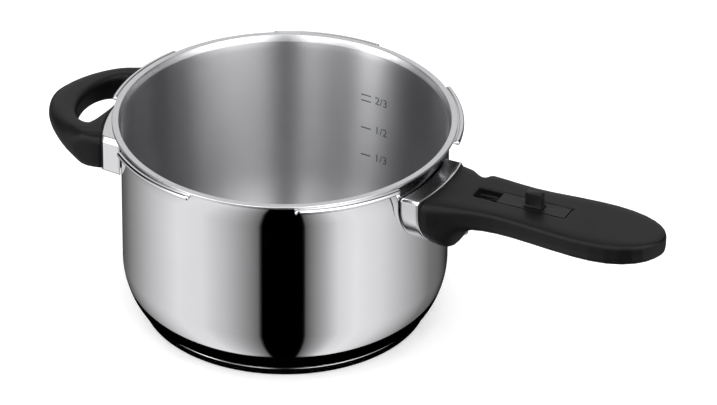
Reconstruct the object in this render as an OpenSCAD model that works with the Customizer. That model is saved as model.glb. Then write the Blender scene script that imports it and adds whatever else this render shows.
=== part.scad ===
/* [Pot] */
// Inside radius of the pot wall
pot_r = 90; // [80:1:110]
// Height from the table to the top of the rim
pot_h = 118; // [105:1:150]
// Thickness of the steel wall
wall_t = 1.0; // [0.8:0.1:1.6]
// Radius of the large bend between wall and floor, inside
bend_r = 43.5; // [30:0.5:50]
// Radius of the small bend at the edge of the flat floor, inside
toe_r = 9; // [6:0.5:12]

/* [Sandwich base] */
// Outside radius of the steel cap under the pot
cap_r = 80; // [72:0.5:88]
// Height of the steel cap
cap_h = 4.4; // [3.8:0.1:5.5]
// Thickness of the steel sheet of the cap
cap_t = 0.6; // [0.5:0.1:0.9]
// Thickness of the aluminium core
core_h = 3.6; // [3:0.1:4.5]

/* [Rim and lid lugs] */
// Outside radius of the flat rim between the lugs, beyond the inside wall
rim_reach = 5.8; // [5:0.1:7]
// Reach of the lugs beyond the inside wall
lug_reach = 9.2; // [8.4:0.1:11]
// Number of lugs that the lid turns under
lug_n = 5; // [3:1:6]
// Angle one lug covers
lug_sweep = 35; // [24:1:44]
// Turn of the lug ring about the pot axis; a gap faces the long handle
lug_turn = 29.2; // [0:0.2:71]
// Radius of the rolled lip of a lug
lip_r = 1.5; // [1.2:0.1:1.8]

/* [Long handle] */
// Distance from the rim down to the top of both handles
handle_drop = 12.5; // [11:0.5:16]
// Sideways offset of the long handle from the pot axis
handle_y = -7.2; // [-10:0.2:0]
// Length of the grip beyond the reference station at the pot end
grip_len = 134; // [120:1:150]
// Half width and bottom radius of the steel collar
collar_r = 25.7; // [24:0.1:28]
// Length of the collars, from the wall out to the seal
collar_len = 10.2; // [9.6:0.1:11]
// Sheet thickness of both collars
collar_t = 1.2; // [1:0.1:1.6]
// Side taper of the long handle's collar, degrees
collar_taper = 2; // [0:0.5:4]
// Bevel along the two top edges of the long handle's collar
long_bevel = 1.8; // [1:0.2:3]

/* [Lid catch] */
// Length of the slot in the top of the grip
slot_len = 54.4; // [52:0.4:60]
// Width of the slot
slot_w = 10.6; // [10:0.2:12]
// Depth of the slot
slot_d = 4.6; // [4.4:0.1:5.2]
// Distance the slide travels towards the pot
travel = 13.5; // [10:0.5:14]
// Height of the thumb post above the slide
post_h = 8.5; // [6:0.5:10]

/* [Side handle] */
// Half width of the side handle's collar
side_half = 42.2; // [41:0.5:44]
// Sideways offset of the side handle from the pot axis
side_y = -3.6; // [-6:0.2:0]
// Height of the side handle's collar
side_h = 22; // [20:0.5:25]
// Reach of the side loop, from the wall
loop_len = 51; // [47:0.5:55]

/* [Hidden] */
// clearances
gap = 0.3;
run = 0.07;
eps = 0.01;
$fn = 96;

// levels
floor_z = cap_t + core_h + wall_t;
wall_r = pot_r + wall_t;
collar_out = wall_r + collar_len;
loop_reach = wall_r + loop_len;
bend_z = 32;
top_z = pot_h - handle_drop;
seal_t = 0.7;

// a bend tangent to the wall and a toe tangent to the bend and the floor
toe_z = floor_z + toe_r;
bend_x = pot_r - bend_r;
toe_x = bend_x + sqrt(pow(bend_r - toe_r, 2) - pow(bend_z - toe_z, 2));

// rim
rim_t = 1.8;
flare_h = 8;
flare = 2;
lug_step = 1.4;

// long grip, set out from the wall along x
grip_x0 = wall_r + 6;
// inner end of every bar that is cut to the wall, and the line that a collar's taper turns about
bar_x0 = wall_r - 31;
bar_x1 = wall_r + 19;
taper_x = wall_r - 6;
side_z = top_z - 8;
slot_x1 = wall_r + 83.2;
slot_x0 = slot_x1 - slot_len;
slot_floor = top_z - slot_d;
plate_half = slot_w / 2 - gap;
plate_x1 = slot_x1 - gap;
plate_x0 = slot_x0 + travel + 0.5;
plate_z0 = slot_floor + gap;
post_x = wall_r + 63.2;
post_len = 10.2;
keel_x0 = wall_r + 59;
keel_x1 = wall_r + 69;
keel_half = 2.8;
chan_x0 = wall_r + 37;
chan_x1 = wall_r + 70;
chan_half = 3.2;
chan_z = top_z - 12;
pin_z = top_z - 8.3;
pin_r = 1.2;
pin_x0 = wall_r + 33;
pin_x1 = wall_r + 74;
coil_r = 2.1;
wire_r = 0.3;
cover_x0 = wall_r + 30;
cover_x1 = wall_r + 77;
cover_half = 9.6;
cover_z = chan_z;
cover_low = top_z - 16;
cover_screws_at = [[wall_r + 41, 6.6], [wall_r + 66, -6.6]];

// clamp screws
clamp_x = wall_r + 19;
tongue_z0 = top_z - 18;
tongue_t = 3;
tongue_half = 9;
tongue_x1 = wall_r + 26;
screw_r = 2.5;
head_r = 4.6;
washer_r = 5.4;
clamp_seat = top_z - 24.5;

// side handle
side_out = collar_out;
side_grip_r = side_out + seal_t;
side_taper = 6;
side_corner = 3;
side_bevel = 2.6;
ear_y = 34;
ear_half = 6;
ear_x1 = wall_r + 19.5;
ear_t = 2.5;
ear_z0 = top_z - 12.5;
side_screw_x = wall_r + 13;
side_seat = top_z - 15.8;

// colours
steel_c = [0.80, 0.80, 0.81];
black_c = [0.07, 0.07, 0.07];
brass_c = [0.72, 0.58, 0.30];
alu_c = [0.62, 0.63, 0.65];

// half section of the vessel, its skin moved outwards by t
module vessel_half(t) {
  ux = (toe_x - bend_x) / (bend_r - toe_r);
  uz = (toe_z - bend_z) / (bend_r - toe_r);
  difference() {
    union() {
      translate([0, bend_z]) square([pot_r + t, pot_h - flare_h - bend_z]);
      translate([0, floor_z - t]) square([bend_x, bend_z - floor_z + t]);
      intersection() {
        translate([bend_x, bend_z]) circle(r = bend_r + t);
        translate([0, floor_z - t]) square([pot_r + t, bend_z - floor_z + t]);
      }
    }
    difference() {
      polygon([
        [toe_x, toe_z],
        [toe_x, floor_z - t - 5],
        [toe_x + 40, floor_z - t - 5],
        [toe_x + 40 * ux, toe_z + 40 * uz]
      ]);
      translate([toe_x, toe_z]) circle(r = toe_r + t);
    }
  }
}

// one lug: a step below the rim and a rolled outer lip
module lug() {
  lip_x = pot_r + lug_reach - lip_r;
  lip_z = pot_h - lug_step - 0.8;
  half = lug_sweep / 2;
  rotate([0, 0, -half]) rotate_extrude(angle = lug_sweep) {
    translate([lip_x, lip_z]) circle(r = lip_r, $fn = 32);
    translate([pot_r + rim_reach - 2, lip_z - 0.5]) square([lip_x - pot_r - rim_reach + 2, 1.3]);
  }
  for (s = [-half, half])
    rotate([0, 0, s]) translate([lip_x, 0, lip_z]) sphere(r = lip_r, $fn = 32);
}

module pot_body() {
  color(steel_c) {
    rotate_extrude($fn = 180) {
      difference() {
        vessel_half(wall_t);
        vessel_half(0);
      }
      polygon([
        [pot_r, pot_h - flare_h],
        [pot_r + wall_t, pot_h - flare_h],
        [pot_r + flare + wall_t, pot_h - rim_t],
        [pot_r + rim_reach - 0.6, pot_h - rim_t],
        [pot_r + rim_reach, pot_h - rim_t + 0.6],
        [pot_r + rim_reach, pot_h - 0.5],
        [pot_r + rim_reach - 0.5, pot_h],
        [pot_r + flare, pot_h]
      ]);
    }
    for (i = [0 : lug_n - 1])
      rotate([0, 0, lug_turn + i * 360 / lug_n]) lug();
  }
}

module base_core() {
  color(alu_c) translate([0, 0, cap_t]) cylinder(r = toe_x - 0.2, h = core_h, $fn = 180);
}

module base_cap() {
  edge = 1.2;
  color(steel_c) rotate_extrude($fn = 180) difference() {
    union() {
      square([cap_r - edge, cap_t + core_h]);
      translate([0, edge]) square([cap_r, cap_h - edge]);
      translate([cap_r - edge, edge]) circle(r = edge, $fn = 48);
    }
    translate([-1, cap_t]) square([cap_r - cap_t - 0.8 + 1, cap_h]);
    translate([-1, edge]) square([cap_r - cap_t + 1, cap_h]);
  }
}

// outline of the long handle's collar: flat top, round bottom
module collar_outline(grow) {
  difference() {
    union() {
      intersection() {
        translate([0, side_z]) circle(r = collar_r + grow);
        translate([-collar_r - 1, side_z - 50]) square([2 * collar_r + 2, 50]);
      }
      translate([-collar_r - grow, side_z]) square([2 * (collar_r + grow), top_z - side_z + grow]);
    }
    for (s = [-1, 1]) translate([s * (collar_r + grow), top_z + grow])
      rotate([0, 0, 45]) square(long_bevel * sqrt(2), center = true);
  }
}

// a bar with that outline, running along x
module collar_bar(grow, x0, x1) {
  translate([x0, 0, 0]) rotate([90, 0, 90]) linear_extrude(x1 - x0) collar_outline(grow);
}

module tapered_bar(grow) {
  intersection() {
    translate([taper_x, 0, 0]) rotate([0, 0, collar_taper])
      translate([-taper_x, 0, 0]) collar_bar(grow, bar_x0, bar_x1);
    translate([taper_x, 0, 0]) rotate([0, 0, -collar_taper])
      translate([-taper_x, 0, 0]) collar_bar(grow, bar_x0, bar_x1);
  }
}

// everything between two radii about the pot axis
module ring(r0, r1, z0, z1) {
  translate([0, 0, z0]) difference() {
    cylinder(r = r1, h = z1 - z0, $fn = 180);
    translate([0, 0, -1]) cylinder(r = r0, h = z1 - z0 + 2, $fn = 180);
  }
}

module long_ferrule() {
  color(steel_c) intersection() {
    translate([0, handle_y, 0]) difference() {
      tapered_bar(0);
      tapered_bar(-collar_t);
    }
    ring(wall_r, collar_out, top_z - 45, top_z + 5);
  }
}

module long_gasket() {
  color(black_c) difference() {
    intersection() {
      translate([0, handle_y, 0]) tapered_bar(-0.35);
      ring(collar_out, collar_out + seal_t, top_z - 45, top_z + 5);
    }
    translate([bar_x0, handle_y - tongue_half - gap, tongue_z0 - gap])
      cube([tongue_x1 - bar_x0, 2 * (tongue_half + gap), tongue_t + 2 * gap]);
  }
}

module long_bracket() {
  pad_half = 15;
  pad_t = 1.6;
  color(steel_c) {
    intersection() {
      ring(wall_r, wall_r + pad_t, tongue_z0 - 9, tongue_z0 + 11);
      translate([bar_x0, handle_y - pad_half, tongue_z0 - 10])
        cube([wall_r, 2 * pad_half, 30]);
    }
    difference() {
      translate([bar_x0, handle_y - tongue_half, tongue_z0])
        cube([tongue_x1 - bar_x0, 2 * tongue_half, tongue_t]);
      translate([0, 0, tongue_z0 - 5]) cylinder(r = wall_r, h = 20, $fn = 180);
      translate([clamp_x, handle_y, tongue_z0 - 5]) cylinder(r = screw_r + 0.4, h = 20, $fn = 48);
    }
  }
}

// stations of the long grip: x, half width, level where the side turns under, bottom level, roundness
grip_st = [
  [0.0, 25.6, -8.0, -33.7, 2.0],
  [4.0, 25.6, -8.2, -34.8, 2.0],
  [7.4, 24.7, -8.4, -35.9, 2.0],
  [10.5, 23.8, -8.3, -35.6, 2.05],
  [13.0, 23.2, -8.0, -34.0, 2.1],
  [15.6, 22.6, -7.2, -30.6, 2.2],
  [18.4, 22.0, -6.0, -25.6, 2.4],
  [21.4, 21.5, -5.0, -21.0, 2.6],
  [26.0, 20.7, -4.3, -17.9, 2.8],
  [33.0, 19.6, -4.0, -16.8, 3.0],
  [41.0, 19.1, -4.0, -16.5, 3.0],
  [50.0, 19.3, -4.0, -16.5, 3.0],
  [60.0, 20.0, -4.0, -16.8, 3.0],
  [74.0, 21.4, -4.0, -17.4, 2.9],
  [88.0, 22.3, -4.0, -18.0, 2.8],
  [98.0, 22.3, -4.0, -18.2, 2.7],
  [107.0, 21.3, -4.0, -18.0, 2.6],
  [115.0, 19.3, -4.0, -17.2, 2.5],
  [121.5, 16.5, -4.0, -16.0, 2.4],
  [126.5, 13.2, -4.0, -14.5, 2.3],
  [130.2, 9.4, -4.0, -12.6, 2.2],
  [132.6, 5.6, -4.3, -10.8, 2.1],
  [133.7, 2.6, -4.8, -9.2, 2.0]
];
ring_n = 40;
// the far side stands a little prouder beside the catch
far_swell = 1.6;
far_mid = 34;
far_run = 15;
// superellipse ordinate
function sup(c, n) = sign(c) * pow(abs(c), 2 / n);
// one point of the grip's skin; k counts round the section
function grip_pt(st, k) = let(
    a = 360 * k / ring_n,
    far = cos(a) > 0 ? far_swell * exp(-pow((st[0] - far_mid) / far_run, 2)) : 0,
    w = st[1] + far,
    y = w * sup(cos(a), sin(a) >= 0 ? 9 : st[4]),
    z = sin(a) >= 0
      ? st[2] - st[2] * sup(sin(a), 3.2) * (w < 8 ? 0.6 + 0.05 * w : 1)
      : st[2] + (st[2] - st[3]) * sup(sin(a), st[4])
  ) [grip_x0 + st[0] * grip_len / 134, y, top_z + z];

// skin through rings of points, closed by a fan at each end
module loft(rings) {
  m = len(rings);
  n = len(rings[0]);
  pts = [for (r = rings) each r];
  c0 = len(pts);
  mid0 = [for (j = [0 : 2]) [for (p = rings[0]) p[j]] * [for (p = rings[0]) 1 / n]];
  mid1 = [for (j = [0 : 2]) [for (p = rings[m - 1]) p[j]] * [for (p = rings[m - 1]) 1 / n]];
  polyhedron(
    points = concat(pts, [mid0, mid1]),
    faces = concat(
      [for (i = [0 : m - 2], k = [0 : n - 1]) [i * n + k, (i + 1) * n + k, i * n + (k + 1) % n]],
      [for (i = [0 : m - 2], k = [0 : n - 1])
        [i * n + (k + 1) % n, (i + 1) * n + k, (i + 1) * n + (k + 1) % n]],
      [for (k = [0 : n - 1]) [c0, k, (k + 1) % n]],
      [for (k = [0 : n - 1]) [c0 + 1, (m - 1) * n + (k + 1) % n, (m - 1) * n + k]]
    )
  );
}

// notch seen from above: x from the wall, y from the pot axis
notch_d = 9;
notch_outline = [
  [13.4, 24], [14.4, 16.8], [16.4, 15], [18.5, 13.1], [20.4, 11.4],
  [22.2, 10], [24, 9], [25.8, 8.6], [27, 9.2], [28, 10.8],
  [28.9, 12.6], [29.8, 14.2], [31, 16], [31.4, 24]
];

module long_grip() {
  color(black_c) translate([0, handle_y, 0]) difference() {
    loft([for (s = grip_st) [for (k = [0 : ring_n - 1]) grip_pt(s, k)]]);
    // seat of the seal, round the pot axis
    translate([0, -handle_y, top_z - 60]) cylinder(r = collar_out + seal_t, h = 80, $fn = 180);
    // slot for the slide
    translate([slot_x0, -slot_w / 2, slot_floor]) cube([slot_len, slot_w, slot_d + 5]);
    // corner relief of the slot
    translate([slot_x1, slot_w / 2, slot_floor]) cylinder(r = 0.9, h = slot_d + 5, $fn = 24);
    // channel for keel and spring
    translate([chan_x0, -chan_half, chan_z - 1])
      cube([chan_x1 - chan_x0, 2 * chan_half, slot_floor - chan_z + 2]);
    // seats of the guide pin, open to below
    translate([pin_x0, 0, pin_z]) rotate([0, 90, 0]) cylinder(r = pin_r, h = pin_x1 - pin_x0, $fn = 32);
    translate([pin_x0, -pin_r, chan_z - 1]) cube([pin_x1 - pin_x0, 2 * pin_r, pin_z - chan_z + 1]);
    // pocket of the track cover
    translate([cover_x0, -cover_half - 0.2, top_z - 40])
      cube([cover_x1 - cover_x0, 2 * cover_half + 0.4, 40 - top_z + cover_z]);
    for (p = cover_screws_at)
      translate([p[0], p[1], cover_z - 1]) cylinder(r = 1.25, h = 6.5, $fn = 32);
    // pocket of the bracket tongue, nut above it, screw from below
    translate([wall_r + 4, -tongue_half - gap, tongue_z0 - gap])
      cube([tongue_x1 + gap - wall_r - 4, 2 * (tongue_half + gap), tongue_t + 2 * gap]);
    translate([clamp_x, 0, tongue_z0 + tongue_t - 1]) cylinder(r = 4.85, h = 5.3, $fn = 6);
    translate([clamp_x, 0, clamp_seat - 1])
      cylinder(r = screw_r + 0.3, h = tongue_z0 - clamp_seat + 2, $fn = 48);
    translate([clamp_x, 0, top_z - 60]) cylinder(r = washer_r + 0.4, h = 60 + clamp_seat - top_z, $fn = 48);
    // notch in the far edge
    translate([wall_r, -handle_y, top_z - notch_d]) linear_extrude(notch_d + 2) polygon(notch_outline);
  }
}

module clamp_screw() {
  color(steel_c) translate([clamp_x, handle_y, 0]) difference() {
    union() {
      translate([0, 0, clamp_seat - 1])
        cylinder(r = screw_r, h = tongue_z0 + tongue_t + 4.2 - clamp_seat + 1, $fn = 48);
      translate([0, 0, clamp_seat - 4]) cylinder(r = head_r, h = 3, $fn = 48);
    }
    translate([0, 0, clamp_seat - 5]) cylinder(r = 2.3, h = 3, $fn = 6);
  }
}

module clamp_washer() {
  color(steel_c) translate([clamp_x, handle_y, clamp_seat - 1]) difference() {
    cylinder(r = washer_r, h = 1, $fn = 48);
    translate([0, 0, -1]) cylinder(r = screw_r, h = 3, $fn = 48);
  }
}

module clamp_nut() {
  color(brass_c) translate([clamp_x, handle_y, tongue_z0 + tongue_t]) difference() {
    cylinder(r = 4.6, h = 4, $fn = 6);
    translate([0, 0, -1]) cylinder(r = screw_r, h = 6, $fn = 48);
  }
}

module slide_plate() {
  color(black_c) translate([0, handle_y, 0]) difference() {
    union() {
      translate([plate_x0, -plate_half, plate_z0])
        cube([plate_x1 - plate_x0, 2 * plate_half, top_z - 0.1 - plate_z0]);
      translate([keel_x0, -keel_half, chan_z + 0.5])
        cube([keel_x1 - keel_x0, 2 * keel_half, plate_z0 - chan_z]);
    }
    translate([keel_x0 - 1, 0, pin_z]) rotate([0, 90, 0])
      cylinder(r = pin_r + run, h = keel_x1 - keel_x0 + 2, $fn = 32);
    translate([post_x, 0, top_z - 2.6]) cylinder(r = 1.6, h = 5, $fn = 32);
  }
}

module slide_post() {
  foot_half = 3.2;
  color(black_c) translate([post_x, handle_y, top_z - 0.1]) {
    translate([-post_len / 2 - 0.3, -foot_half, 0]) cube([post_len + 0.6, 2 * foot_half, 1]);
    translate([-post_len / 2 + 0.3, -2.3, 1 - eps]) cube([post_len - 0.6, 4.6, post_h - 1]);
    translate([0, 0, -2.4]) cylinder(r = 1.6, h = 3, $fn = 32);
  }
}

module spring_pin() {
  color(steel_c) translate([pin_x0, handle_y, pin_z]) rotate([0, 90, 0])
    cylinder(r = pin_r, h = pin_x1 - pin_x0, $fn = 32);
}

// helix as a skin of rings along its own path
module slide_spring() {
  turns = 8;
  steps = 20;
  sec = 8;
  x0 = chan_x0 + 0.1 + wire_r;
  x1 = keel_x0 - 0.1 - wire_r;
  total = turns * steps;
  color(steel_c) translate([0, handle_y, pin_z])
    loft([for (i = [0 : total]) let(
        a = 360 * i / steps,
        x = x0 + (x1 - x0) * i / total
      ) [for (k = [0 : sec - 1]) let(b = 360 * k / sec)
        [x + wire_r * sin(b), (coil_r + wire_r * cos(b)) * cos(a), (coil_r + wire_r * cos(b)) * sin(a)]]]);
}

module track_cover() {
  color(black_c) translate([0, handle_y, 0]) difference() {
    translate([cover_x0 + 0.2, -cover_half, cover_low])
      cube([cover_x1 - cover_x0 - 0.4, 2 * cover_half, cover_z - cover_low]);
    for (p = cover_screws_at) translate([p[0], p[1], 0]) {
      translate([0, 0, cover_low - 1]) cylinder(r = 2.7, h = 3, $fn = 32);
      translate([0, 0, cover_low]) cylinder(r = 1.4, h = 10, $fn = 32);
    }
  }
}

module cover_screws() {
  color(steel_c) for (p = cover_screws_at) translate([p[0], p[1] + handle_y, 0]) difference() {
    union() {
      translate([0, 0, cover_low + 0.4]) cylinder(r = 2.4, h = 1.6, $fn = 32);
      translate([0, 0, cover_low + 1]) cylinder(r = 1.25, h = cover_z + 5 - cover_low - 1, $fn = 32);
    }
    translate([0, 0, cover_low - 0.6]) cylinder(r = 1.2, h = 2, $fn = 6);
  }
}

// rounded box section of the side collar
module side_outline(grow) {
  r = side_corner;
  y = side_half + grow;
  z0 = top_z - side_h - grow;
  z1 = top_z + grow;
  for (s = [-1, 1]) translate([s * (y - r), z0 + r]) circle(r = r, $fn = 48);
  translate([r - y, z0]) square([2 * (y - r), r]);
  polygon([
    [-y, z0 + r], [y, z0 + r], [y, z1 - side_bevel],
    [y - side_bevel, z1], [side_bevel - y, z1], [-y, z1 - side_bevel]
  ]);
}

module side_bar(grow) {
  turn_x = wall_r - 7;
  translate([0, side_y, 0]) intersection_for(s = [-1, 1])
    translate([turn_x, 0, 0]) rotate([0, 0, s * side_taper]) translate([-turn_x, 0, 0])
      translate([bar_x0, 0, 0]) rotate([90, 0, 90]) linear_extrude(bar_x1 - bar_x0) side_outline(grow);
}

module side_ferrule() {
  color(steel_c) mirror([1, 0, 0]) intersection() {
    difference() {
      side_bar(0);
      side_bar(-collar_t);
    }
    ring(wall_r, side_out, top_z - 40, top_z + 5);
  }
}

module ear_windows() {
  for (s = [-1, 1]) translate([bar_x0, side_y + s * ear_y - ear_half - gap, ear_z0 - gap])
    cube([ear_x1 + gap - bar_x0, 2 * (ear_half + gap), ear_t + 2 * gap]);
}

module side_gasket() {
  color(black_c) mirror([1, 0, 0]) difference() {
    intersection() {
      side_bar(-0.35);
      ring(side_out, side_out + seal_t, top_z - 40, top_z + 5);
    }
    ear_windows();
  }
}

module side_bracket() {
  pad_half = 38;
  color(steel_c) mirror([1, 0, 0]) {
    intersection() {
      ring(wall_r, wall_r + 1.6, ear_z0 - 6, ear_z0 + 8);
      translate([bar_x0, side_y - pad_half, 0]) cube([wall_r, 2 * pad_half, pot_h]);
    }
    difference() {
      for (s = [-1, 1]) translate([bar_x0, side_y + s * ear_y - ear_half, ear_z0])
        cube([ear_x1 - bar_x0, 2 * ear_half, ear_t]);
      translate([0, 0, ear_z0 - 5]) cylinder(r = wall_r, h = 20, $fn = 180);
      for (s = [-1, 1]) translate([side_screw_x, side_y + s * ear_y, ear_z0 - 5])
        cylinder(r = 2.4, h = 20, $fn = 48);
    }
  }
}

// loop of the side grip: outer and inner outline, level of top and bottom, by angle about the loop's middle
loop_x = wall_r + 17;
loop_n = 72;
loop_m = 24;
function loop_outer(t) = let(
    c = cos(t),
    s = sin(t),
    n = c > 0 ? 1.62 : 5,
    a = c > 0 ? loop_reach - loop_x : 26,
    b = side_half + 0.6,
    q = pow(pow(abs(c) / a, n) + pow(abs(s) / b, n), -1 / n)
  ) [loop_x + q * c, side_y + q * s];
function loop_inner(t) = let(
    c = cos(t),
    s = sin(t),
    n = c > 0 ? 2 : 4,
    a = c > 0 ? 14.8 : 3.9,
    b = 26.5,
    q = pow(pow(abs(c) / a, n) + pow(abs(s) / b, n), -1 / n)
  ) [loop_x + q * c, side_y + q * s];
function ease(x, x0, x1) = let(u = max(0, min(1, (x - x0) / (x1 - x0)))) (1 - cos(180 * u)) / 2;
function loop_low(x) = -side_h + 9.2 * ease(x, wall_r + 7, wall_r + 41);
function loop_high(x) = -1.5 * ease(x, wall_r + 9, loop_reach);
function loop_ring(t) = let(
    o = loop_outer(t),
    i = loop_inner(t),
    e_out = 5 - 3 * ease(o[0], wall_r + 9, wall_r + 20)
  ) [for (k = [0 : loop_m - 1]) let(
      a = 360 * k / loop_m,
      e = cos(a) < 0 ? 4.5 : e_out,
      u = (1 + sup(cos(a), e)) / 2,
      x = i[0] + (o[0] - i[0]) * u,
      y = i[1] + (o[1] - i[1]) * u,
      zt = loop_high(x),
      zb = loop_low(x),
      z = (zt + zb) / 2 + (zt - zb) / 2 * sup(sin(a), e)
    ) [x, y, top_z + z]];

// skin through rings of points that close on themselves
module hoop(rings) {
  m = len(rings);
  n = len(rings[0]);
  polyhedron(
    points = [for (r = rings) each r],
    faces = concat(
      [for (i = [0 : m - 1], k = [0 : n - 1]) [i * n + k, i * n + (k + 1) % n, ((i + 1) % m) * n + k]],
      [for (i = [0 : m - 1], k = [0 : n - 1])
        [i * n + (k + 1) % n, ((i + 1) % m) * n + (k + 1) % n, ((i + 1) % m) * n + k]]
    )
  );
}

module side_grip() {
  color(black_c) mirror([1, 0, 0]) difference() {
    hoop([for (i = [0 : loop_n - 1]) loop_ring(360 * i / loop_n)]);
    translate([0, 0, top_z - 60]) cylinder(r = side_grip_r, h = 80, $fn = 180);
    ear_windows();
    for (s = [-1, 1]) translate([side_screw_x, side_y + s * ear_y, 0]) {
      translate([0, 0, ear_z0 + ear_t - 1]) cylinder(r = 4.2, h = 4.8, $fn = 6);
      translate([0, 0, side_seat - 1]) cylinder(r = 2.3, h = ear_z0 - side_seat + 2, $fn = 48);
      translate([0, 0, top_z - 60]) cylinder(r = 4.8, h = 60 + side_seat - top_z, $fn = 48);
    }
  }
}

module side_screws() {
  color(steel_c) for (s = [-1, 1]) translate([-side_screw_x, side_y + s * ear_y, 0]) difference() {
    union() {
      translate([0, 0, side_seat - 0.8])
        cylinder(r = 2, h = ear_z0 + ear_t + 3.4 - side_seat + 0.8, $fn = 48);
      translate([0, 0, side_seat - 3.2]) cylinder(r = 3.7, h = 2.4, $fn = 48);
    }
    translate([0, 0, side_seat - 4.2]) cylinder(r = 1.9, h = 2.4, $fn = 6);
  }
}

module side_washers() {
  color(steel_c) for (s = [-1, 1]) translate([-side_screw_x, side_y + s * ear_y, side_seat - 0.8])
    difference() {
    cylinder(r = 4.4, h = 0.8, $fn = 48);
    translate([0, 0, -1]) cylinder(r = 2, h = 3, $fn = 48);
  }
}

module side_nuts() {
  color(brass_c) for (s = [-1, 1]) translate([-side_screw_x, side_y + s * ear_y, ear_z0 + ear_t])
    difference() {
    cylinder(r = 4, h = 3.4, $fn = 6);
    translate([0, 0, -1]) cylinder(r = 2, h = 6, $fn = 48);
  }
}

pot_body();
base_core();
base_cap();
long_bracket();
long_ferrule();
long_gasket();
long_grip();
clamp_screw();
clamp_washer();
clamp_nut();
slide_plate();
slide_post();
slide_spring();
spring_pin();
track_cover();
cover_screws();
side_bracket();
side_ferrule();
side_gasket();
side_grip();
side_screws();
side_washers();
side_nuts();
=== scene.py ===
"""Looks of a stovetop pressure cooker pot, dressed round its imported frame."""

import logging
import math
from dataclasses import dataclass
from enum import Enum
from typing import Iterable, Sequence

import bmesh
import bpy
from mathutils import Matrix, Vector


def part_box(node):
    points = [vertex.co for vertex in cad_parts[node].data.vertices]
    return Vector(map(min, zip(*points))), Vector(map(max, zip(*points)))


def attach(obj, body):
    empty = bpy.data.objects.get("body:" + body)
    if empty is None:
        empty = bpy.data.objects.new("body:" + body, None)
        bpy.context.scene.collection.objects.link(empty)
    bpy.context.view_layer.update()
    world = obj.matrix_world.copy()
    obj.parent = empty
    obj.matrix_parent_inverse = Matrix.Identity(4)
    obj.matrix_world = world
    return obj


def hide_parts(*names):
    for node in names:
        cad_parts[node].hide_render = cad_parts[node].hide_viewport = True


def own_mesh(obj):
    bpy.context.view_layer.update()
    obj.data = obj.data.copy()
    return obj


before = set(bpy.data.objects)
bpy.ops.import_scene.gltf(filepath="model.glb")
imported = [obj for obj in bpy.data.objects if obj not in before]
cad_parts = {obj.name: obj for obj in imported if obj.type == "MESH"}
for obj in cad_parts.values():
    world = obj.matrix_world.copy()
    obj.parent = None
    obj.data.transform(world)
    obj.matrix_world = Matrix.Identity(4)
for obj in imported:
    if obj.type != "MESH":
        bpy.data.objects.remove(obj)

LOG = logging.getLogger("pressure_cooker_pot")
MM = 0.001
UV_NAME = "around"
POT = "pot"
SLIDE = "slide"


# ---------------------------------------------------------------- helpers


def linear(code: str) -> tuple[float, float, float, float]:
    """Turns an sRGB hex colour into a linear one.

    Args:
        code: The colour as "#RRGGBB".

    Returns:
        The linear colour with full alpha.
    """
    parts = [int(code[i : i + 2], 16) / 255 for i in (1, 3, 5)]
    low = [p / 12.92 if p <= 0.04045 else ((p + 0.055) / 1.055) ** 2.4 for p in parts]
    return (low[0], low[1], low[2], 1.0)


def add(tree: bpy.types.NodeTree, kind: str, sockets: dict | None = None, **settings: object) -> bpy.types.Node:
    """Adds one node with its settings, values and links.

    Args:
        tree: The node tree that gets the node.
        kind: The node's type name.
        sockets: Values by socket name or number; a socket of another node is linked.
        **settings: The node's own properties.

    Returns:
        The new node.
    """
    node = tree.nodes.new(kind)
    for name, value in settings.items():
        setattr(node, name, value)
    for key, value in (sockets or {}).items():
        if isinstance(value, bpy.types.NodeSocket):
            tree.links.new(value, node.inputs[key])
        else:
            node.inputs[key].default_value = value
    return node


def new_object(name: str, mesh: bpy.types.Mesh) -> bpy.types.Object:
    """Makes an object for a mesh and links it to the scene.

    Args:
        name: The piece's name.
        mesh: Its mesh, already in place.

    Returns:
        The new object.
    """
    piece = bpy.data.objects.new(name, mesh)
    bpy.context.scene.collection.objects.link(piece)
    return piece


def settled(piece: bpy.types.Object) -> bpy.types.Object:
    """Turns a piece with modifiers into a plain mesh and drops the modifiers.

    Args:
        piece: The object whose modifiers are evaluated.

    Returns:
        The same object with its evaluated mesh.
    """
    bpy.context.view_layer.update()
    graph = bpy.context.evaluated_depsgraph_get()
    mesh = bpy.data.meshes.new_from_object(piece.evaluated_get(graph))
    mesh.name = piece.name
    piece.modifiers.clear()
    piece.data = mesh
    return piece


def shade(mesh: bpy.types.Mesh, degrees: float) -> None:
    """Shades a mesh smooth, with hard edges above an angle.

    Args:
        mesh: The mesh to shade.
        degrees: Edges sharper than this stay hard.
    """
    mesh.shade_smooth()
    mesh.set_sharp_from_angle(angle=math.radians(degrees))


@dataclass(frozen=True)
class ProfilePoint:
    """A corner of a turned profile, in millimetres, with the finish of the skin that leads to the next one."""

    r: float
    z: float
    finish: int = 0


def arc(
    cx: float, cz: float, radius: float, start: float, end: float, steps: int, finish: int
) -> list[ProfilePoint]:
    """Points along an arc of a profile.

    Args:
        cx: Centre's distance from the axis.
        cz: Centre's height.
        radius: The arc's radius.
        start: First angle in degrees, from the radial direction.
        end: Last angle in degrees.
        steps: Number of spans.
        finish: Finish of the skin.

    Returns:
        The points, both ends included.
    """
    angles = [math.radians(start + (end - start) * i / steps) for i in range(steps + 1)]
    return [ProfilePoint(cx + radius * math.cos(a), cz + radius * math.sin(a), finish) for a in angles]


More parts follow.
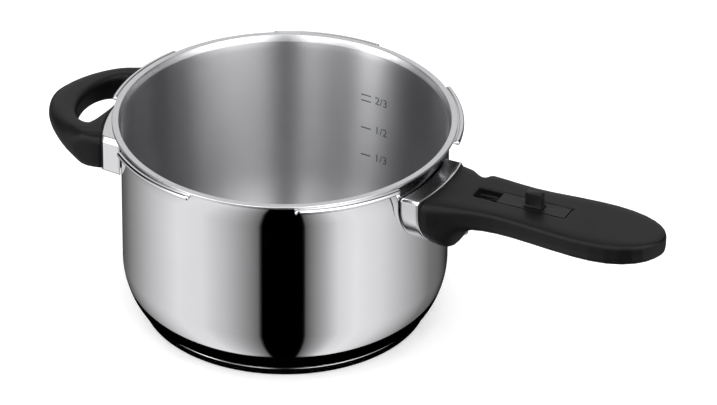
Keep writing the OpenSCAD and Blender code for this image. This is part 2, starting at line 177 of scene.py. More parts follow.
def turned(name: str, profile: Sequence[ProfilePoint], spans: int) -> bpy.types.Object:
    """Turns a profile round the pot's axis into a closed skin.

    Args:
        name: The piece's name.
        profile: Corners from the axis on one side to the axis on the other.
        spans: Number of facets round the axis.

    Returns:
        The piece, with its way round and way along the profile as a UV map in metres.
    """
    bm = bmesh.new()
    uv = bm.loops.layers.uv.new(UV_NAME)
    reach = max(p.r for p in profile) * MM
    along = [0.0]
    for a, b in zip(profile, profile[1:]):
        along.append(along[-1] + math.hypot(b.r - a.r, b.z - a.z) * MM)
    rings: list[list[bmesh.types.BMVert]] = []
    for p in profile:
        if p.r < 1e-6:
            rings.append([bm.verts.new((0, 0, p.z * MM))])
            continue
        turns = [2 * math.pi * k / spans for k in range(spans)]
        rings.append([bm.verts.new((p.r * MM * math.cos(t), p.r * MM * math.sin(t), p.z * MM)) for t in turns])
    for i, (low, high) in enumerate(zip(rings, rings[1:])):
        for k in range(spans):
            n = (k + 1) % spans
            corners = [(low[k % len(low)], k, i), (low[n % len(low)], k + 1, i)]
            corners += [(high[n % len(high)], k + 1, i + 1), (high[k % len(high)], k, i + 1)]
            kept: list[tuple[bmesh.types.BMVert, int, int]] = []
            for corner in corners:
                if all(corner[0] is not other[0] for other in kept):
                    kept.append(corner)
            face = bm.faces.new([c[0] for c in kept])
            face.material_index = profile[i].finish
            for loop, (_, turn, step) in zip(face.loops, kept):
                loop[uv].uv = (2 * math.pi * reach * turn / spans, along[step])
    bmesh.ops.recalc_face_normals(bm, faces=bm.faces)
    mesh = bpy.data.meshes.new(name)
    bm.to_mesh(mesh)
    bm.free()
    return new_object(name, mesh)


# ---------------------------------------------------------------- finishes


class Pattern(Enum):
    """Coordinates that a finish reads."""

    OBJECT = "object"
    AROUND = "around"


@dataclass(frozen=True)
class Metal:
    """A bare metal finish with fine lines from polishing, grinding or drawing."""

    name: str
    colour: str
    dark: str
    roughness: float
    rough_spread: float
    line_mm: tuple[float, float, float]
    bump_mm: float
    anisotropy: float = 0.0
    pattern: Pattern = Pattern.OBJECT

    def make(self) -> bpy.types.Material:
        """Builds the metal's material.

        Returns:
            The material.
        """
        material = bpy.data.materials.new(self.name)
        material.use_nodes = True
        tree = material.node_tree
        tree.nodes.clear()
        out = add(tree, "ShaderNodeOutputMaterial")
        if self.pattern is Pattern.AROUND:
            place = add(tree, "ShaderNodeUVMap", uv_map=UV_NAME).outputs["UV"]
        else:
            place = add(tree, "ShaderNodeTexCoord").outputs["Object"]
        scale = tuple(1 / (mm * MM) for mm in self.line_mm)
        spread = add(tree, "ShaderNodeMapping", {"Vector": place, "Scale": scale}).outputs["Vector"]
        lines = add(tree, "ShaderNodeTexNoise", {"Vector": spread, "Scale": 1.0, "Detail": 3.0})
        stretch = (38.0, 38.0, 38.0)
        cloud_at = add(tree, "ShaderNodeMapping", {"Vector": place, "Scale": stretch}).outputs["Vector"]
        cloud = add(tree, "ShaderNodeTexNoise", {"Vector": cloud_at, "Scale": 1.0, "Detail": 2.0})
        tone = add(tree, "ShaderNodeMix", {"Factor": cloud.outputs["Fac"]}, data_type="RGBA")
        tone.inputs[6].default_value = linear(self.dark)
        tone.inputs[7].default_value = linear(self.colour)
        rough = add(
            tree,
            "ShaderNodeMapRange",
            {
                "Value": lines.outputs["Fac"],
                "From Min": 0.3,
                "From Max": 0.7,
                "To Min": max(0.0, self.roughness - self.rough_spread),
                "To Max": self.roughness + self.rough_spread,
            },
        )
        bump = add(
            tree,
            "ShaderNodeBump",
            {"Height": lines.outputs["Fac"], "Strength": 0.5, "Distance": self.bump_mm * MM},
        )
        sockets = {
            "Base Color": tone.outputs[2],
            "Metallic": 1.0,
            "Roughness": rough.outputs["Result"],
            "Anisotropic": self.anisotropy,
            "Normal": bump.outputs["Normal"],
        }
        if self.anisotropy and self.pattern is Pattern.AROUND:
            here = add(tree, "ShaderNodeTexCoord").outputs["Object"]
            grain = add(tree, "ShaderNodeVectorMath", {0: (0.0, 0.0, 1.0), 1: here}, operation="CROSS_PRODUCT")
            sockets["Tangent"] = grain.outputs["Vector"]
            sockets["Anisotropic Rotation"] = 0.25
        surface = add(tree, "ShaderNodeBsdfPrincipled", sockets)
        tree.links.new(surface.outputs["BSDF"], out.inputs["Surface"])
        return material


@dataclass(frozen=True)
class Moulding:
    """A moulded plastic or rubber finish with the fine grain of its mould."""

    name: str
    colour: str
    worn: str
    roughness: float
    rough_spread: float
    grain_mm: float
    bump_mm: float
    ior: float
    specular: float = 0.5

    def make(self) -> bpy.types.Material:
        """Builds the moulding's material.

        Returns:
            The material.
        """
        material = bpy.data.materials.new(self.name)
        material.use_nodes = True
        tree = material.node_tree
        tree.nodes.clear()
        out = add(tree, "ShaderNodeOutputMaterial")
        place = add(tree, "ShaderNodeTexCoord").outputs["Object"]
        fineness = 1 / (self.grain_mm * MM)
        grain = add(tree, "ShaderNodeTexNoise", {"Vector": place, "Scale": fineness, "Detail": 2.0})
        cloud = add(tree, "ShaderNodeTexNoise", {"Vector": place, "Scale": 45.0, "Detail": 3.0})
        tone = add(tree, "ShaderNodeMix", {"Factor": cloud.outputs["Fac"]}, data_type="RGBA")
        tone.inputs[6].default_value = linear(self.colour)
        tone.inputs[7].default_value = linear(self.worn)
        rough = add(
            tree,
            "ShaderNodeMapRange",
            {
                "Value": cloud.outputs["Fac"],
                "From Min": 0.3,
                "From Max": 0.7,
                "To Min": self.roughness - self.rough_spread,
                "To Max": self.roughness + self.rough_spread,
            },
        )
        bump = add(
            tree,
            "ShaderNodeBump",
            {"Height": grain.outputs["Fac"], "Strength": 0.6, "Distance": self.bump_mm * MM},
        )
        surface = add(
            tree,
            "ShaderNodeBsdfPrincipled",
            {
                "Base Color": tone.outputs[2],
                "Roughness": rough.outputs["Result"],
                "IOR": self.ior,
                "Specular IOR Level": self.specular,
                "Normal": bump.outputs["Normal"],
            },
        )
        tree.links.new(surface.outputs["BSDF"], out.inputs["Surface"])
        return material


@dataclass
class Finishes:
    """Every finish on the pot, made once."""

    # 18/10 steel buffed to a mirror; buffing lines are far finer than they show, so they are drawn 0.6 mm apart
    mirror_steel: Metal = Metal(
        "steel_mirror_buffed", "#DEDEE0", "#D8D8DA", 0.045, 0.012, (60, 60, 0.6), 0.0008
    )
    # 18/10 steel ground round the axis inside the pot: light draws out into upright streaks
    satin_steel: Metal = Metal(
        "steel_satin_ground", "#BDBDBF", "#B4B4B6", 0.40, 0.02, (45, 0.5, 1), 0.0, 1.0, Pattern.AROUND
    )
    # the same steel brushed along the flare and the top of the rim: an even pale grey
    rim_steel: Metal = Metal("steel_rim_brushed", "#DCDCDE", "#D2D2D4", 0.30, 0.03, (40, 0.5, 40), 0.001)
    # deep-drawn steel collars, buffed a little less than the wall
    collar_steel: Metal = Metal("steel_collar_buffed", "#E0E0E2", "#D8D8DA", 0.19, 0.02, (30, 30, 0.5), 0.0012)
    # rolled steel cap of the base, buffed at its side and turned below
    base_steel: Metal = Metal(
        "steel_base_turned", "#CFCFD1", "#C6C6C8", 0.13, 0.03, (50, 0.5, 1), 0.003, 0.4, Pattern.AROUND
    )
    # zinc-plated steel of screws and washers
    zinc_steel: Metal = Metal("steel_zinc_plated", "#B9BCC0", "#A9ACB0", 0.30, 0.06, (2, 2, 2), 0.004)
    # machined brass nuts
    brass: Metal = Metal("brass_machined", "#C9A860", "#BC9A52", 0.28, 0.05, (2, 2, 0.4), 0.004)
    # drawn spring wire
    spring_wire: Metal = Metal("steel_spring_drawn", "#8E9094", "#7E8084", 0.32, 0.05, (1, 1, 1), 0.003)
    # rolled aluminium disc
    aluminium: Metal = Metal("aluminium_rolled", "#C4C6C8", "#B8BABC", 0.38, 0.06, (20, 1, 1), 0.004)
    # pressed and welded brackets, left grey
    bracket_steel: Metal = Metal("steel_bracket_pressed", "#A3A5A8", "#93959A", 0.42, 0.06, (8, 8, 1), 0.006)
    # glass-filled nylon, matt black from an etched mould
    grip_nylon: Moulding = Moulding("nylon_grip_matt", "#0F0F10", "#141415", 0.43, 0.04, 0.45, 0.03, 1.5, 0.2)
    # smoother black nylon of the slide and its post
    slide_nylon: Moulding = Moulding(
        "nylon_slide_satin", "#121213", "#161618", 0.40, 0.04, 0.4, 0.015, 1.5, 0.25
    )
    # silicone rubber seal, dull black
    seal_rubber: Moulding = Moulding("silicone_seal_dull", "#0C0C0D", "#121213", 0.7, 0.04, 0.3, 0.01, 1.42)
    # etched level marks on the ground steel, darker and duller than the wall
    etched: Metal = Metal("steel_mark_etched", "#6A6B6D", "#606163", 0.60, 0.05, (1, 1, 1), 0.004)

    def __post_init__(self) -> None:
        """Makes an empty store for the built materials."""
        self._made: dict[str, bpy.types.Material] = {}

    def of(self, finish: Metal | Moulding) -> bpy.types.Material:
        """The material of a finish, built on first use.

        Args:
            finish: The finish.

        Returns:
            Its material.
        """
        if finish.name not in self._made:
            self._made[finish.name] = finish.make()
        return self._made[finish.name]


# ---------------------------------------------------------------- pieces


@dataclass
class Vessel:
    """Deep-drawn pot with its rim, lugs and level marks; sizes in millimetres."""

    finishes: Finishes
    inner: float = 90.0
    wall: float = 1.0
    bend_r: float = 43.5
    bend_z: float = 32.0
    toe_r: float = 9.0
    floor_z: float = 5.2
    flare_h: float = 8.0
    rim_t: float = 1.8
    rim_reach: float = 5.8
    lug_count: int = 5
    lug_sweep: float = 35.0
    lug_turn: float = 29.2
    lip_r: float = 1.5
    lip_out: float = 97.7
    lip_down: float = 2.2
    spans: int = 256

    def __post_init__(self) -> None:
        """Reads the pot's height from the frame and works out the toe."""
        self.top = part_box("pot_body")[1].z / MM
        self.bend_x = self.inner - self.bend_r
        self.toe_z = self.floor_z + self.toe_r
        rise = self.bend_z - self.toe_z
        self.toe_x = self.bend_x + math.sqrt((self.bend_r - self.toe_r) ** 2 - rise**2)
        self.meet = math.degrees(math.atan2(-rise, self.toe_x - self.bend_x))

    def skin(self, out: float, finish: int) -> list[ProfilePoint]:
        """Floor, toe, bend and wall of one side of the sheet, from the axis to the flare.

        Args:
            out: Offset from the inside surface.
            finish: Finish of the skin.

        Returns:
            The profile points.
        """
        z = self.floor_z - out
        floor = [ProfilePoint(r, z, finish) for r in (0, 8, 20, 35, 50, 65)]
        toe = arc(self.toe_x, self.toe_z, self.toe_r + out, -90, self.meet, 14, finish)
        bend = arc(self.bend_x, self.bend_z, self.bend_r + out, self.meet, 0, 26, finish)[1:]
        upright = self.top - self.flare_h
        wall = [
            ProfilePoint(self.inner + out, self.bend_z + (upright - self.bend_z) * i / 10, finish)
            for i in range(1, 11)
        ]
        return floor + toe + bend + wall

    def rim(self) -> list[ProfilePoint]:
        """The flare, the flat of the rim and its edge, from inside to outside."""
        reach, top, under = self.inner + self.rim_reach, self.top, self.top - self.rim_t
        flare_out = 2.0
        edge_r = 0.5
        hollow_r = 0.9
        throat = self.inner + flare_out
        curve = [
            ProfilePoint(
                self.inner + flare_out * (1 - math.cos(t * math.pi / 2)) * 0.9,
                top - self.flare_h * (1 - t * 0.93),
                1 if t < 0.5 else 2,
            )
            for t in (0.2, 0.4, 0.6, 0.8, 0.92)
        ]
        lead = arc(throat + edge_r, top - edge_r, edge_r, 165, 90, 5, 2)
        outer = arc(reach - edge_r, top - edge_r, edge_r, 90, 0, 5, 2)
        outer += arc(reach - edge_r, under + edge_r, edge_r, 0, -90, 5, 0)
        hollow = arc(throat + 1.0 + hollow_r, under - hollow_r, hollow_r, 90, 168, 5, 0)
        return curve + lead + outer + hollow

    def build_skin(self) -> bpy.types.Object:
        """Turns the whole sheet: satin inside, mirror outside."""
        inside = self.skin(0.0, 1)
        outside = list(reversed(self.skin(self.wall, 0)))
        piece = turned("vessel_skin", inside + self.rim() + outside, self.spans)
        piece.data.materials.append(self.finishes.of(self.finishes.mirror_steel))
        piece.data.materials.append(self.finishes.of(self.finishes.satin_steel))
        piece.data.materials.append(self.finishes.of(self.finishes.rim_steel))
        shade(piece.data, 32)
        return piece

    def lug_mesh(self) -> bpy.types.Mesh:
        """One lug: a web below the rim and a rolled lip with rounded ends.

        Returns:
            The mesh of a lug centred on azimuth zero.
        """
        lip_z = self.top - self.lip_down
        root = self.inner + self.rim_reach - 2
        first, last = 199.5, 507.8
        outline = [(root, lip_z - 0.5)]
        for i in range(23):
            a = math.radians(first + (last - first) * i / 22)
            outline.append((self.lip_out + self.lip_r * math.cos(a), lip_z + self.lip_r * math.sin(a)))
        outline.append((root, lip_z + 0.8))
        half = self.lug_sweep / 2
        stations = [(half * (2 * i / 34 - 1), 1.0) for i in range(35)]
        tips = []
        for t in (0.35, 0.7, 1.0, 1.25, 1.45):
            tips.append((math.degrees(self.lip_r * math.sin(t) / self.lip_out), math.cos(t)))
        stations = [(-half - d, s) for d, s in reversed(tips)] + stations + [(half + d, s) for d, s in tips]
        bm = bmesh.new()
        rings = []
        for turn, size in stations:
            a = math.radians(turn)
            ring = []
            for r, z in outline:
                rr = self.lip_out + (r - self.lip_out) * size
                zz = lip_z + (z - lip_z) * size
                ring.append(bm.verts.new((rr * MM * math.cos(a), rr * MM * math.sin(a), zz * MM)))
            rings.append(ring)
        n = len(outline)
        for low, high in zip(rings, rings[1:]):
            for k in range(n):
                bm.faces.new((low[k], low[(k + 1) % n], high[(k + 1) % n], high[k]))
        bm.faces.new(rings[0])
        bm.faces.new(list(reversed(rings[-1])))
        bmesh.ops.recalc_face_normals(bm, faces=bm.faces)
        mesh = bpy.data.meshes.new("lug")
        bm.to_mesh(mesh)
        bm.free()
        shade(mesh, 40)
        return mesh

    def lug_tree(self, seed_lug: bpy.types.Object, finish: bpy.types.Material) -> bpy.types.NodeTree:
        """Geometry Nodes that set lugs round the rim.

        Args:
            seed_lug: Object that holds one lug.
            finish: The lugs' material.

        Returns:
            The node group, with inputs Count and Turn.
        """
        tree = bpy.data.node_groups.new("lugs_round_rim", "GeometryNodeTree")
        face = tree.interface
        face.new_socket("Geometry", in_out="INPUT", socket_type="NodeSocketGeometry")
        count = face.new_socket("Count", in_out="INPUT", socket_type="NodeSocketInt")
        count.default_value = self.lug_count
        turn = face.new_socket("Turn", in_out="INPUT", socket_type="NodeSocketFloat")
        turn.default_value = math.radians(self.lug_turn)
        face.new_socket("Geometry", in_out="OUTPUT", socket_type="NodeSocketGeometry")
        start = add(tree, "NodeGroupInput")
        points = add(tree, "GeometryNodePoints", {"Count": start.outputs["Count"], "Radius": 0.001})
        index = add(tree, "GeometryNodeInputIndex")
        share = add(tree, "ShaderNodeMath", {0: index.outputs[0], 1: 2 * math.pi}, operation="MULTIPLY")
        step = add(tree, "ShaderNodeMath", {0: share.outputs[0], 1: start.outputs["Count"]}, operation="DIVIDE")
        angle = add(tree, "ShaderNodeMath", {0: step.outputs[0], 1: start.outputs["Turn"]}, operation="ADD")
        spin = add(tree, "ShaderNodeCombineXYZ", {"Z": angle.outputs[0]})
        source = add(tree, "GeometryNodeObjectInfo", {"Object": seed_lug})
        placed = add(
            tree,
            "GeometryNodeInstanceOnPoints",
            {
                "Points": points.outputs[0],
                "Instance": source.outputs["Geometry"],
                "Rotation": spin.outputs[0],
            },
        )
        real = add(tree, "GeometryNodeRealizeInstances", {"Geometry": placed.outputs[0]})
        dressed = add(tree, "GeometryNodeSetMaterial", {"Geometry": real.outputs[0], "Material": finish})
        end = add(tree, "NodeGroupOutput")
        tree.links.new(dressed.outputs[0], end.inputs[0])
        return tree

    def build_lugs(self) -> bpy.types.Object:
        """The ring of lugs that the lid turns under."""
        finish = self.finishes.of(self.finishes.mirror_steel)
        seed_lug = new_object("lug_seed", self.lug_mesh())
        tree = self.lug_tree(seed_lug, finish)
        piece = new_object("rim_lugs", bpy.data.meshes.new("rim_lugs"))
        mod = piece.modifiers.new("lugs", "NODES")
        mod.node_group = tree
        named = {s.name: s.identifier for s in tree.interface.items_tree if s.in_out == "INPUT"}
        mod[named["Count"]] = self.lug_count
        mod[named["Turn"]] = math.radians(self.lug_turn)
        settled(piece)
        bpy.data.objects.remove(seed_lug)
        return piece

    def on_wall(self, flat: Sequence[Vector], azimuth: float, height: float) -> list[Vector]:
        """Bends a flat mark on to the inside wall, seen from the axis.

        Args:
            flat: Points in metres, x to the right and y up, as read from the axis.
            azimuth: Place round the axis in degrees.
            height: Height in millimetres.

        Returns:
            The points on the wall.
        """
        r = (self.inner - 0.05) * MM
        bent = []
        for p in flat:
            a = math.radians(azimuth) - p.x / r
            bent.append(Vector((r * math.cos(a), r * math.sin(a), height * MM + p.y)))
        return bent

    def build_marks(self) -> bpy.types.Object:
        """Level marks: short bars with plain fractions beside them."""
        bm = bmesh.new()
        heights = (MARK_TOP, MARK_TOP - MARK_PAIR, MARK_MIDDLE, MARK_LOW)
        bars = [(MARK_AZIMUTH, height) for height in heights]
        for azimuth, height in bars:
            for i in range(6):
                x0, x1 = (MARK_LENGTH * (i / 6 - 0.5)) * MM, (MARK_LENGTH * ((i + 1) / 6 - 0.5)) * MM
                h = 0.4 * MM
                flat = [Vector((x0, -h, 0)), Vector((x1, -h, 0)), Vector((x1, h, 0)), Vector((x0, h, 0))]
                corners = self.on_wall(flat, azimuth, height)
                bm.faces.new([bm.verts.new(c) for c in corners])
        for words, height in (("2/3", MARK_TOP - 1.8), ("1/2", MARK_MIDDLE + 0.4), ("1/3", MARK_LOW)):
            text = bpy.data.curves.new("mark", "FONT")
            text.body, text.size, text.align_x, text.align_y = words, 7.0 * MM, "CENTER", "CENTER"
            holder = new_object("mark_words", text)
            bpy.context.view_layer.update()
            graph = bpy.context.evaluated_depsgraph_get()
            flat = bpy.data.meshes.new_from_object(holder.evaluated_get(graph))
            bpy.data.objects.remove(holder)
            places = self.on_wall([v.co for v in flat.vertices], WORDS_AZIMUTH, height)
            verts = [bm.verts.new(p) for p in places]
            for polygon in flat.polygons:
                bm.faces.new([verts[i] for i in polygon.vertices])
            bpy.data.meshes.remove(flat)
        axis = Vector((0, 0, 0))
        for face in bm.faces:
            centre = face.calc_center_median()
            face.normal_update()
            if face.normal.dot(axis - Vector((centre.x, centre.y, 0))) < 0:
                face.normal_flip()
        mesh = bpy.data.meshes.new("level_marks")
        bm.to_mesh(mesh)
        bm.free()
        mesh.materials.append(self.finishes.of(self.finishes.etched))
        return new_object("level_marks", mesh)

    def build(self) -> None:
        """Builds and hangs the vessel's pieces on the pot."""
        skin = self.build_skin()
        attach(skin, POT)
        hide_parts("pot_body")
        for piece in (self.build_lugs(), self.build_marks()):
            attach(piece, POT)
            LOG.info("%s: %d faces", piece.name, len(piece.data.polygons))


# level marks: azimuth in degrees, heights and lengths in millimetres
MARK_AZIMUTH = 85.1
WORDS_AZIMUTH = 78.6
MARK_TOP = 86.9
MARK_PAIR = 3.7
MARK_MIDDLE = 65.4
MARK_LOW = 47.6
MARK_LENGTH = 6.5


@dataclass
class BaseCap:
    """Pressed steel cap under the pot, with turned rings below; sizes in millimetres."""

    finishes: Finishes
    edge: float = 1.2
    sheet: float = 0.6
    rings: tuple[float, ...] = (18.0, 36.0, 54.0)
    ring_deep: float = 0.2
    spans: int = 256

    def build(self) -> None:
        """Turns the cap and hangs it on the pot."""
        _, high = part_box("base_cap")
        reach, top = high.x / MM, high.z / MM
        sole = 0.2
        under = [ProfilePoint(0, sole)]
        for r in self.rings:
            under += [ProfilePoint(r - 1.6, sole), ProfilePoint(r - 1.0, sole + self.ring_deep)]
            under += [ProfilePoint(r + 1.0, sole + self.ring_deep), ProfilePoint(r + 1.6, sole)]
        under += [ProfilePoint(reach - 9, sole), ProfilePoint(reach - 8, 0.0)]
        side = arc(reach - self.edge, self.edge, self.edge, -90, 0, 8, 0)
        lip = arc(reach - 0.3, top - 0.3, 0.3, 0, 90, 4, 0) + [ProfilePoint(reach - 1.2, top - 0.05)]
        inner = [
            ProfilePoint(reach - 1.4, self.edge + 0.2),
            ProfilePoint(reach - 2.4, self.sheet),
            ProfilePoint(0, self.sheet),
        ]
        piece = turned("base_cap_skin", under + side + lip + inner, self.spans)
        piece.data.materials.append(self.finishes.of(self.finishes.base_steel))
        shade(piece.data, 30)
        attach(piece, POT)
        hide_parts("base_cap")
        LOG.info("%s: %d faces", piece.name, len(piece.data.polygons))


@dataclass
class Part:
    """A part of the frame that gets a finish of its own."""

    node: str
    slot: str
    body: str = POT
    bevel_mm: float = 0.25

    def merged(self) -> bpy.types.Object:
        """A copy of the part's mesh with its loose triangles joined.

        Returns:
            The copy as a new piece.
        """
        bm = bmesh.new()
        bm.from_mesh(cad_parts[self.node].data)
        bmesh.ops.remove_doubles(bm, verts=bm.verts, dist=4e-6)
        bmesh.ops.dissolve_degenerate(bm, dist=1e-6, edges=bm.edges)
        mesh = bpy.data.meshes.new(self.node + "_skin")
        bm.to_mesh(mesh)
        bm.free()
        mesh.materials.clear()
        return new_object(self.node + "_skin", mesh)

    def hang(self, piece: bpy.types.Object) -> None:
        """Lets a piece stand for the part and move with its body.

        Args:
            piece: The finished piece.
        """
        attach(piece, self.body)
        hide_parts(self.node)
        LOG.info("%s: %d faces", piece.name, len(piece.data.polygons))


@dataclass
class PressedPart(Part):
    """A metal or hard plastic part whose edges are broken by a small bevel."""

    def build(self, finish: bpy.types.Material) -> None:
        """Bevels and dresses the part.

        Args:
            finish: The part's material.
        """
        piece = self.merged()
        bm = bmesh.new()
        bm.from_mesh(piece.data)
        bmesh.ops.dissolve_limit(bm, angle_limit=math.radians(0.6), verts=bm.verts, edges=bm.edges)
        bm.to_mesh(piece.data)
        bm.free()
        shade(piece.data, 30)
        mod = piece.modifiers.new("edge", "BEVEL")
        mod.width = self.bevel_mm * MM
        mod.segments = 2
        mod.limit_method = "ANGLE"
        mod.angle_limit = math.radians(35)
        mod.harden_normals = True
        mod.use_clamp_overlap = True
        settled(piece)
        shade(piece.data, 34)
        piece.data.materials.clear()
        piece.data.materials.append(finish)
        self.hang(piece)


@dataclass
class MouldedPart(Part):
    """A moulded grip: one soft skin with rounded edges."""

    voxel_mm: float = 0.5
    passes: int = 2

    def build(self, finish: bpy.types.Material) -> None:
        """Re-skins and dresses the part.

        Args:
            finish: The part's material.
        """
        piece = self.merged()
        skin = piece.modifiers.new("skin", "REMESH")
        skin.mode = "VOXEL"
        skin.voxel_size = self.voxel_mm * MM
        soft = piece.modifiers.new("soft", "SMOOTH")
        soft.factor = 0.5
        soft.iterations = self.passes
        settled(piece)
        piece.data.shade_smooth()
        piece.data.materials.clear()
        piece.data.materials.append(finish)
        self.hang(piece)


@dataclass
class SpringPart(Part):
    """The catch's return spring, which the slide shortens as it moves; this piece keeps its length."""

    joint: str = "catch_slide"
    keep: float = 0.37

    def build(self, finish: bpy.types.Material) -> None:
        """Dresses the spring and hangs it on the pot.

        Args:
            finish: The spring's material.
        """
        piece = self.merged()
        piece.data.shade_smooth()
        piece.data.materials.clear()
        piece.data.materials.append(finish)
        self.hang(piece)
        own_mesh(piece)


@dataclass
class Collar:
    """Deep-drawn collar between the wall and a grip, swept along the radius; sizes in millimetres."""

    finishes: Finishes
    node: str
    side: int
    middle_y: float
    half: float
    top: float
    height: float
    bevel: float
    low_r: float
    sheet: float = 1.2
    inner_r: float = 91.02
    outer_r: float = 101.2
    taper: float = 0.0
    joint: float = 0.45
    flat_parts: int = 28

    def outline(self, inset: float) -> list[tuple[float, float]]:
        """Section of the collar as (sideways, height) points.

        Args:
            inset: How far the section lies inside the outer one.

        Returns:
            The points, all the way round.
        """
        half, top, low = self.half - inset, self.top - inset, self.top - self.height + inset
        r = max(0.4, self.low_r - inset)
        ease = 0.25
        points: list[tuple[float, float]] = []
        for sign in (1, -1):
            flat = [
                (half - self.bevel - ease * 1.5, top),
                (half - self.bevel - ease * 0.4, top - ease * 0.12),
                (half - self.bevel + ease, top - ease * 1.25),
                (half - ease * 1.25, top - self.bevel + ease),
                (half - ease * 0.12, top - self.bevel - ease * 0.4),
                (half, top - self.bevel - ease * 1.5),
            ]
            corner = [
                (half - r + r * math.cos(math.radians(a)), low + r + r * math.sin(math.radians(a)))
                for a in range(0, -91, -6)
            ]
            run = flat + corner
            points += [(sign * y, z) for y, z in (run if sign == 1 else reversed(run))]
        closed: list[tuple[float, float]] = []
        for (y0, z0), (y1, z1) in zip(points, points[1:] + points[:1]):
            parts = self.flat_parts if abs(y1 - y0) > 5 else 1
            closed += [(y0 + (y1 - y0) * i / parts, z0 + (z1 - z0) * i / parts) for i in range(parts)]
        return closed

    def ring(self, inset: float, radius: float) -> list[Vector]:
        """The section laid on a cylinder round the pot's axis.

        Args:
            inset: How far the section lies inside the outer one.
            radius: The cylinder's radius.

        Returns:
            The points in metres.
        """
        shrink = math.tan(math.radians(self.taper)) * (radius - self.inner_r)
        places = []
        for y, z in self.outline(inset):
            sideways = self.middle_y + y * (1 - shrink / self.half)
            out = math.sqrt(radius**2 - sideways**2)
            places.append(Vector((self.side * out, sideways, z)) * MM)
        return places

    def build(self) -> None:
        """Builds the collar and hangs it on the pot."""
        steps = 8
        # the end at the wall is rounded in, which leaves a fine dark line all round the joint
        start = self.inner_r + self.joint
        rings = [self.ring(0.5, start), self.ring(0.15, start + 0.12)]
        radii = [start + 0.45 + (self.outer_r - 0.75 - start) * i / steps for i in range(steps + 1)]
        rings += [self.ring(0.0, r) for r in radii]
        rings += [
            self.ring(0.09, self.outer_r - 0.09),
            self.ring(0.3, self.outer_r),
            self.ring(self.sheet, self.outer_r),
        ]
        rings.append(self.ring(self.sheet, start))
        bm = bmesh.new()
        laid = [[bm.verts.new(p) for p in ring] for ring in rings]
        n = len(laid[0])
        for low, high in zip(laid, laid[1:] + laid[:1]):
            for k in range(n):
                bm.faces.new((low[k], low[(k + 1) % n], high[(k + 1) % n], high[k]))
        bmesh.ops.recalc_face_normals(bm, faces=bm.faces)
        mesh = bpy.data.meshes.new(self.node + "_skin")
        bm.to_mesh(mesh)
        bm.free()
        shade(mesh, 50)
        mesh.materials.append(self.finishes.of(self.finishes.collar_steel))
        piece = new_object(mesh.name, mesh)
        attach(piece, POT)
        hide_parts(self.node)
        LOG.info("%s: %d faces", piece.name, len(mesh.polygons))


@dataclass
class Hardware:
    """Handles, collars, catch and fasteners of the pot."""

    finishes: Finishes

    def build(self) -> None:
        """Dresses every part of the handles and the catch."""
        f = self.finishes
        for node in ("long_grip", "side_grip"):
            MouldedPart(node, "grip_black").build(f.of(f.grip_nylon))
        PressedPart("slide_plate", "slide_black", SLIDE, 0.3).build(f.of(f.slide_nylon))
        PressedPart("slide_post", "slide_black", SLIDE, 0.45).build(f.of(f.slide_nylon))
        SpringPart("slide_spring", "spring_steel", POT).build(f.of(f.spring_wire))
        PressedPart("track_cover", "slide_black", POT, 0.3).build(f.of(f.slide_nylon))
        Collar(
            f,
            node="long_ferrule",
            side=1,
            middle_y=-7.2,
            half=25.7,
            top=105.5,
            height=33.7,
            bevel=1.4,
            low_r=25.4,
        ).build()
        Collar(
            f,
            node="side_ferrule",
            side=-1,
            middle_y=-3.6,
            half=42.2,
            top=105.5,
            height=22.0,
            bevel=2.4,
            low_r=3.0,
            taper=6.0,
        ).build()
        for node in ("clamp_screw", "clamp_washer", "cover_screws", "side_screws", "side_washers"):
            PressedPart(node, "screw_steel", POT, 0.12).build(f.of(f.zinc_steel))
        for node in ("clamp_nut", "side_nuts"):
            PressedPart(node, "nut_brass", POT, 0.15).build(f.of(f.brass))
        for node, finish in (
            ("long_gasket", f.seal_rubber),
            ("side_gasket", f.seal_rubber),
            ("long_bracket", f.bracket_steel),
            ("side_bracket", f.bracket_steel),
            ("spring_pin", f.zinc_steel),
            ("base_core", f.aluminium),
        ):
            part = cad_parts[node]
            part.data.materials.clear()
            part.data.materials.append(f.of(finish))
            LOG.info("%s dressed", node)


# ---------------------------------------------------------------- studio


